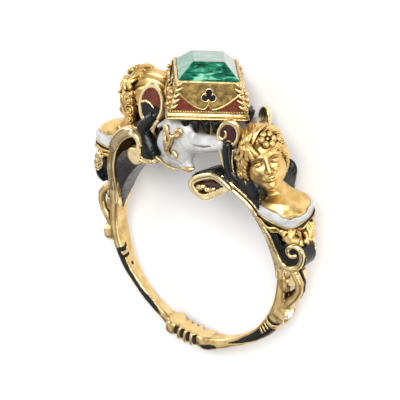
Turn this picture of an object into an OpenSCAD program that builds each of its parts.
// Enamelled gold finger ring: a corner-set box bezel with a table-cut emerald,
// carried by two female busts, white cartouches and S-scroll shoulders.
// The ring is drawn upright (finger axis along Y, bezel up) and then laid on
// its side, as it rests by itself. Millimetres.

/* [Finger opening] */
// Radius of the finger opening
bore_r = 8.7; // [8.5:0.05:8.8]
// Half width of the plain inner band that touches the finger
band_hw = 0.95; // [0.85:0.05:1.0]

/* [Shank] */
// Thickness of the lower shank
shank_t = 0.95; // [0.85:0.05:1.05]
// Radius of the ribbed collar at the bottom, outside
collar_r = 10.0; // [9.9:0.05:10.1]
// Angle of the collar round the opening, in degrees
collar_a = -93; // [-94:1:-90]
// Angle of the two small stone collets, in degrees
gem_a = -12.5; // [-14:0.5:-11]
// Radius of a collet
gem_r = 0.95; // [0.85:0.05:1.0]

/* [Shoulders] */
// Outside radius of the shoulder under the busts
sh_r = 11.4; // [11.3:0.05:11.5]
// Half width of the shoulders at the busts
sh_hw = 2.9; // [2.8:0.05:3.0]
// Radius of the rim where the finger side flares out
flare_r = 10.45; // [10.3:0.05:10.5]
// Radius of the lower volute
lo_vol_r = 1.25; // [1.2:0.05:1.35]
// Radius of the upper volute
up_vol_r = 1.2; // [1.1:0.05:1.25]
// Depth of the enamel fields in the gold
enamel_d = 0.25; // [0.2:0.05:0.3]

/* [Bezel] */
// Side of the moulded base
base_s = 6.45; // [6.3:0.05:6.5]
// Thickness of the moulded base
base_t = 0.62; // [0.5:0.02:0.7]
// Height of the bezel underside above the finger axis
base_z = 13.5; // [13.5:0.05:13.7]
// Side of the box at its foot
foot_s = 6.1; // [6.0:0.05:6.2]
// Side of the box at the stone
rim_s = 5.1; // [5.05:0.05:5.2]
// Height of the box above its base
box_h = 2.3; // [2.2:0.05:2.4]
// Turn of the bezel on the ring, in degrees
bezel_turn = 42; // [40:1:45]

/* [Emerald] */
// Side of the stone at its girdle
stone_s = 4.78; // [4.7:0.02:4.8]
// Side of the table facet
table_s = 2.42; // [2.2:0.02:2.6]
// Height of the crown
crown_h = 1.2; // [1.0:0.05:1.3]

/* [Busts] */
// Turn of the chests towards the front, in degrees
chest_turn = 15; // [12:1:18]
// Turn of the heads towards the front, in degrees
head_turn = 30; // [24:1:34]
// Lean of the busts towards the bezel, in degrees
bust_lean = 13; // [11:1:15]
// Half width of a chest
chest_hw = 3.3; // [3.2:0.05:3.35]
// Radius of a skull with its hair
head_r = 2.0; // [1.9:0.05:2.05]
// How much lower the right bust sits than the left
right_drop = 0.95; // [0:0.05:1.1]

/* [Cartouches] */
// Distance of the white cartouches from the middle
cart_y = 2.9; // [2.85:0.05:2.95]
// Radius of a cartouche's body
cart_r = 1.15; // [1.1:0.05:1.2]

/* [Hidden] */

gap = 0.03;                       // clearance between set pieces
wide = 40;                        // longer than the whole ring
shank_r = bore_r + shank_t;
rest_tilt = 8.1;                  // lean of the hoop plane as it lies on its side
rest_roll = 0;                    // its sideways lean
rest_at = [0, -3.855, 2.632];     // finger centre from the middle of the footprint
gold = [0.83, 0.62, 0.24];

// half width of the hoop (col 1) at a height above the finger axis (col 0)
WIDTH = [[-11, 1.0], [-6, 0.95], [1.5, 0.95], [2.6, 1.0], [3.7, 1.3], [5.2, 1.75],
         [6.4, 2.2], [7.6, 2.7], [8.2, sh_hw], [14.2, sh_hw]];

// black field on the side of the right shoulder: angle, inner radius, outer radius
FIELD = [[56, 10.75, 11.15], [50, 10.75, 11.15], [44, 10.65, 11.15], [38, 10.5, 11.1],
         [33, 10.25, 11.0], [27, 9.95, 10.75], [22, 9.8, 10.6]];

// ---------- placing ----------
module lie_down() translate(rest_at) rotate([0, rest_roll, 0]) rotate([-90 + rest_tilt, 0, 0]) children();
module side(s) mirror([s < 0 ? 1 : 0, 0, 0]) children();        // s = 1 right, -1 left
module face(f) mirror([0, f > 0 ? 1 : 0, 0]) children();        // f = -1 front, 1 back
module along_y(h) rotate([90, 0, 0]) linear_extrude(height = h, center = true) children();
module rod(x, z, r, h) translate([x, 0, z]) rotate([90, 0, 0]) cylinder(r = r, h = h, center = true, $fn = 64);
module polar(r, a) translate([r * cos(a), 0, r * sin(a)]) rotate([0, 90 - a, 0]) children();
module wedge(a0, a1) along_y(wide) polygon(concat([[0, 0]],
    [for (a = [a0 : (a1 - a0) / 6 : a1 + 0.001]) [wide * cos(a), wide * sin(a)]]));

// slab as wide as the hoop is at each height, grown by e
module width_slab(e = 0) rotate([90, 0, 90]) linear_extrude(height = wide, center = true)
    polygon(concat([for (p = WIDTH) [p[1] + e, p[0]]],
                   [for (i = [len(WIDTH) - 1 : -1 : 0]) [-WIDTH[i][1] - e, WIDTH[i][0]]]));

// ---------- hoop ----------
module shoulder_bulk(e = 0) {
    intersection() { rod(0, 0, sh_r - 0.1 + e, wide); wedge(30, 62); }
    intersection() { rod(0, 0, sh_r - 0.4 + e, wide); wedge(21, 62); }
    intersection() { rod(0, 0, sh_r - 1.6 + e, wide); wedge(1, 62); }
    rod(10.2, 4.4, lo_vol_r + e, wide);
    rod(9.95, 1.75, 0.85 + e, wide);
    for (f = [-1, 1]) face(f) translate([0, -sh_hw / 2 - 0.38, 0]) {
        rod(4.4, 9.15, up_vol_r + e, sh_hw - 0.75 + 2 * e);
        rod(3.0, 8.75, up_vol_r - 0.15 + e, sh_hw - 0.75 + 2 * e);
    }
}

module openwork() {
    difference() {
        union() {
            rod(10.3, 0.75, 0.95, 1.8);
            rod(10.05, -0.4, 0.75, 1.8);
        }
        rod(10.42, 0.8, 0.42, wide);
    }
}

module flare(e = 0) for (f = [-1, 1]) face(f)
    translate([0, -sh_hw - 0.2, 0]) rotate([-90, 0, 0])
        cylinder(r1 = flare_r + (flare_r - bore_r) / (sh_hw - band_hw) * 0.2 + e,
                 r2 = bore_r + e, h = sh_hw + 0.2 - band_hw, $fn = 96);

module field_shape(e = 0) {
    polygon(concat([for (p = FIELD) (p[1] - e) * [cos(p[0] + (p == FIELD[0] ? e * 5 : 0)), sin(p[0] + (p == FIELD[0] ? e * 5 : 0))]],
                   [for (i = [len(FIELD) - 1 : -1 : 0]) (FIELD[i][2] + e) * [cos(FIELD[i][0] + (i == 0 ? e * 5 : 0)), sin(FIELD[i][0] + (i == 0 ? e * 5 : 0))]]));
    translate([10.2, 4.4]) circle(r = 0.85 + e, $fn = 40);
}

// enamel field on one side face of the right shoulder, f = -1 front, 1 back
module side_field(f, e = 0, out = 0.04) intersection() {
    along_y(wide) field_shape(e);
    difference() { width_slab(out); width_slab(-enamel_d - e); }
    translate([0, f > 0 ? 0 : -wide, -wide / 2]) cube([wide, wide, wide]);
}

module finger_field(e = 0) intersection() {
    difference() {
        union() { flare(enamel_d + e); }
        flare(e > 0 ? -1 : gap);
    }
    wedge(14 - e * 3, 50 + e * 3);
    width_slab(-0.35 + e);
    difference() {
        translate([0, -sh_hw + 0.35 - e, -wide / 2]) cube([wide, 2 * (sh_hw - 0.35 + e), wide]);
        translate([0, -band_hw - 0.2 + e, -wide / 2]) cube([wide, 2 * (band_hw + 0.2 - e), wide]);
    }
}

// oval C-scroll beside each head, and its stem down to the shoulder
module ear_at() translate([4.05, -2.45, 12.75]) rotate([0, 8, 24]) children();
module ear_scroll(e = 0) {
    ear_at() for (z = [-0.5, 0.55]) translate([0, 0, z]) rotate([90, 0, 0])
        cylinder(r = 0.95 + e, h = 0.7 + 2 * e, center = true, $fn = 48);
    translate([4.35, -2.35, 9.4]) rotate([0, -5, 0]) cylinder(r = 0.42 + e, h = 2.6, $fn = 32);
}
module ear_field(e = 0) ear_at() for (z = [-0.45, 0.5]) translate([0, -0.12 + e, z]) rotate([90, 0, 0])
    cylinder(r = 0.6 + e, h = 0.26 + (e > 0 ? 0.5 : 0), $fn = 40);

module struts(e = 0) {
    translate([5.5, 0, 8.9]) rotate([0, -32, 0]) cylinder(r = 0.6 + e, h = 4.9, $fn = 32);
}

module culot(e = 0) {
    translate([0, 0, 10.7]) cylinder(r1 = 1.1 + e, r2 = 3.1 + e, h = base_z - 10.7 - gap, $fn = 64);
}

module collar(e = 0) for (da = [-9, 0, 9]) polar(0, collar_a + da)
    translate([0, 0, bore_r + 0.05]) cylinder(r = 0.62 + e, h = collar_r - bore_r - 0.05, $fn = 40);

module collar_band(e = 0) intersection() {
    rod(0, 0, collar_r - 0.1 + e, 2.5 + 2 * e);
    wedge(collar_a - 12 - e * 4, collar_a + 12 + e * 4);
}

module hoop_right() {
    intersection() {
        union() { shoulder_bulk(); openwork(); }
        width_slab();
    }
    polar(0, gem_a) translate([0, 0, shank_r - 0.35]) cylinder(r = gem_r, h = 0.75, $fn = 48);
    for (f = [-1, 1]) face(f) ear_scroll();
    struts();
}

module hoop() color(gold) lie_down() difference() {
    union() {
        intersection() { rod(0, 0, shank_r, wide); width_slab();
                         translate([-wide / 2, -wide / 2, -wide]) cube([wide, wide, wide + 1.5]); }
        for (s = [-1, 1]) side(s) hoop_right();
        collar_band();
        culot();
    }
    rod(0, 0, bore_r, wide);
    for (s = [-1, 1]) side(s) {
        intersection() { flare(); wedge(3, 66); }
        for (f = [-1, 1]) side_field(f, gap, 0.5);
        finger_field(gap);
        for (f = [-1, 1]) face(f) ear_field(gap);
        polar(0, gem_a) translate([0, 0, shank_r + 0.1]) cylinder(r = gem_r - 0.25, h = 2, $fn = 48);
    }
    collar_slots(gap);
}

module collar_slots(e = 0) for (da = [-7, 0, 7]) intersection() {
    difference() { rod(0, 0, collar_r + 0.3, wide); rod(0, 0, collar_r - 0.1 - enamel_d - e, wide); }
    wedge(collar_a + da - 1.5 - e * 5, collar_a + da + 1.5 + e * 5);
    translate([-wide / 2, -0.95 - e, -wide / 2]) cube([wide, 1.9 + 2 * e, wide]);
}

module collar_enamel() color([0.05, 0.05, 0.09]) lie_down() intersection() {
    collar_slots();
    rod(0, 0, collar_r - 0.14, wide);
    rod(0, 0, collar_r - 0.14, 1.9);
}

// ---------- bezel and stone ----------
module on_bezel() rotate([0, 0, bezel_turn]) children();
module box(s0, s1, z0, z1) intersection() {
    rotate([90, 0, 0]) linear_extrude(height = wide, center = true)
        polygon([[-s0 / 2, z0], [s0 / 2, z0], [s1 / 2, z1], [-s1 / 2, z1]]);
    rotate([90, 0, 90]) linear_extrude(height = wide, center = true)
        polygon([[-s0 / 2, z0], [s0 / 2, z0], [s1 / 2, z1], [-s1 / 2, z1]]);
}

box_z = base_z + base_t;
rim_z = box_z + box_h;

module spandrel_shape(e = 0) polygon([
    [-foot_s / 2 + 0.75 - e, -e], [foot_s / 2 - 0.75 + e, -e],
    [rim_s / 2 - 0.12 + e, box_h * 0.62 + e], [1.3, 0.42 + e], [0.3, 0.22 + e],
    [-0.3, 0.22 + e], [-1.3, 0.42 + e], [-rim_s / 2 + 0.12 - e, box_h * 0.62 + e]]);

module bezel_field(k, e = 0, out = 0.03) intersection() {
    rotate([0, 0, 90 * k]) translate([0, 0, box_z + 0.2]) rotate([90, 0, 0])
        linear_extrude(height = wide) spandrel_shape(e);
    difference() {
        box(foot_s + 2 * out, rim_s + 2 * out, box_z, rim_z);
        box(foot_s - 0.4 - 2 * e, rim_s - 0.4 - 2 * e, box_z - 0.01, rim_z + 0.01);
    }
}

module bezel() color(gold) lie_down() on_bezel() difference() {
    union() {
        box(base_s, base_s - 0.15, base_z, base_z + base_t * 0.6);
        box(base_s - 0.3, foot_s, base_z + base_t * 0.5, box_z);
        box(foot_s, rim_s, box_z, rim_z);
    }
    translate([-stone_s / 2 - gap, -stone_s / 2 - gap, rim_z - 0.7]) cube([stone_s + 2 * gap, stone_s + 2 * gap, 3]);
    for (k = [0 : 3]) bezel_field(k, gap, 0.5);
}

module emerald() color([0.1, 0.55, 0.35]) lie_down() on_bezel() union() {
    box(stone_s, stone_s, rim_z - 0.66, rim_z + 0.02);
    box(stone_s, table_s, rim_z + 0.01, rim_z + crown_h);
}

module bezel_enamel(k) color([0.5, 0.1, 0.08]) lie_down() on_bezel() bezel_field(k);

// ---------- busts ----------
// s = 1 right, -1 left
module at_neck(s) translate(s > 0 ? [7.75, 0.44 - 0.142 * right_drop, 8.35 - right_drop] : [7.6, 0.44, 8.35]) rotate([0, 0, -chest_turn]) rotate([0, -bust_lean, 0]) children();

// half outline of a chest, turned round the neck: distance from the axis, height
CHEST = [[0, 0.9], [1.15, 0.75], [2.0, 0.3], [3.0, 0.05], [3.45, -0.35],
         [3.45, -1.15], [2.9, -1.8], [2.0, -2.4], [0, -2.9]];

module chest_form(e = 0) intersection() {
    rotate_extrude($fn = 64)
        polygon([for (p = CHEST) [p[0] > 0 ? p[0] * chest_hw / 3.45 + e : 0, p[1] + (p[1] > 0 ? e : -e)]]);
    translate([-2.6, 0, -5]) cylinder(r = 5 + e, h = 10, $fn = 96);
}

module figure(s) {
    chest_form();
    cylinder(r1 = 1.25, r2 = 1.0, h = 2.7, $fn = 40);
    translate([0, s > 0 ? -0.6 : 0, 4.15]) rotate([0, 0, chest_turn - head_turn]) {
        translate([0.05, 0, 0]) sphere(r = head_r - 0.1, $fn = 48);
        translate([0.5, 0, -1.3]) sphere(r = 1.3, $fn = 48);
        translate([-0.25, 0, 0.55]) sphere(r = head_r, $fn = 48);
    }
}

module hoop_clear() {
    shoulder_bulk(0.04);
    for (f = [-1, 1]) face(f) ear_scroll(0.04);
    struts(0.04);
}

module bodice_band(s, e = 0) at_neck(s) intersection() {
    difference() { chest_form(0.12); chest_form(-0.2 - e); }
    translate([-0.6, -wide / 2, -1.5 - e]) cube([wide, wide, 1.1 + 2 * e]);
}

module bust(s) color(gold) lie_down() side(s) difference() {
    at_neck(s) figure(s);
    hoop_clear();
    bodice_band(s, gap);
    on_bezel() box(base_s + 0.1, base_s + 0.1, base_z - 0.1, base_z + 6);
    rod(0, 0, bore_r + 1, wide);
}

module bodice(s) color([0.88, 0.89, 0.93]) lie_down() side(s) difference() {
    bodice_band(s);
    hoop_clear();
}

// ---------- cartouches ----------
module cartouche(f) color([0.9, 0.9, 0.88]) lie_down() face(f) difference() {
    union() {
        translate([-0.25, -cart_y, 12.15]) sphere(r = cart_r, $fn = 40);
        translate([-0.1, -cart_y, 10.75]) sphere(r = cart_r, $fn = 40);
        translate([0.35, -cart_y, 9.75]) sphere(r = cart_r - 0.3, $fn = 40);
        for (s = [-1, 1]) side(s) translate([0.6, -cart_y, 11.6]) rotate([0, 82, 0]) cylinder(r = 0.5, h = 2.7, $fn = 32);
    }
    culot(gap);
    for (s = [-1, 1]) side(s) { shoulder_bulk(gap); for (g = [-1, 1]) face(g) ear_scroll(gap); }
    translate([-wide / 2, -wide / 2, base_z - gap]) cube([wide, wide, 5]);
    rod(0, 0, bore_r + 0.02, wide);
}

module gem(s) color([0.92, 0.94, 0.96]) lie_down() side(s) polar(0, gem_a) translate([0, 0, shank_r + 0.12]) intersection() {
    cylinder(r = gem_r - 0.28, h = 0.75, $fn = 48);
    translate([0, 0, -0.35]) sphere(r = 1.1, $fn = 48);
}

module side_enamel(s, f) color([0.05, 0.05, 0.09]) lie_down() side(s) side_field(f);
module finger_enamel(s) color([0.12, 0.08, 0.12]) lie_down() side(s) finger_field();
module ear_enamel(s, f) color([0.35, 0.08, 0.1]) lie_down() side(s) face(f) ear_field();

hoop();
bezel();
emerald();
bust(-1);  // bust_left
bust(1);  // bust_right
bodice(-1);  // bodice_left
bodice(1);  // bodice_right
cartouche(-1);  // cartouche_front
cartouche(1);  // cartouche_back
side_enamel(-1, -1);  // side_enamel_left_front
side_enamel(-1, 1);  // side_enamel_left_back
side_enamel(1, -1);  // side_enamel_right_front
side_enamel(1, 1);  // side_enamel_right_back
finger_enamel(-1);  // finger_enamel_left
finger_enamel(1);  // finger_enamel_right
bezel_enamel(0);  // bezel_enamel_a
bezel_enamel(1);  // bezel_enamel_b
bezel_enamel(2);  // bezel_enamel_c
bezel_enamel(3);  // bezel_enamel_d
ear_enamel(-1, -1);  // ear_enamel_left_front
ear_enamel(-1, 1);  // ear_enamel_left_back
ear_enamel(1, -1);  // ear_enamel_right_front
ear_enamel(1, 1);  // ear_enamel_right_back
collar_enamel();
gem(-1);  // gem_left
gem(1);  // gem_right
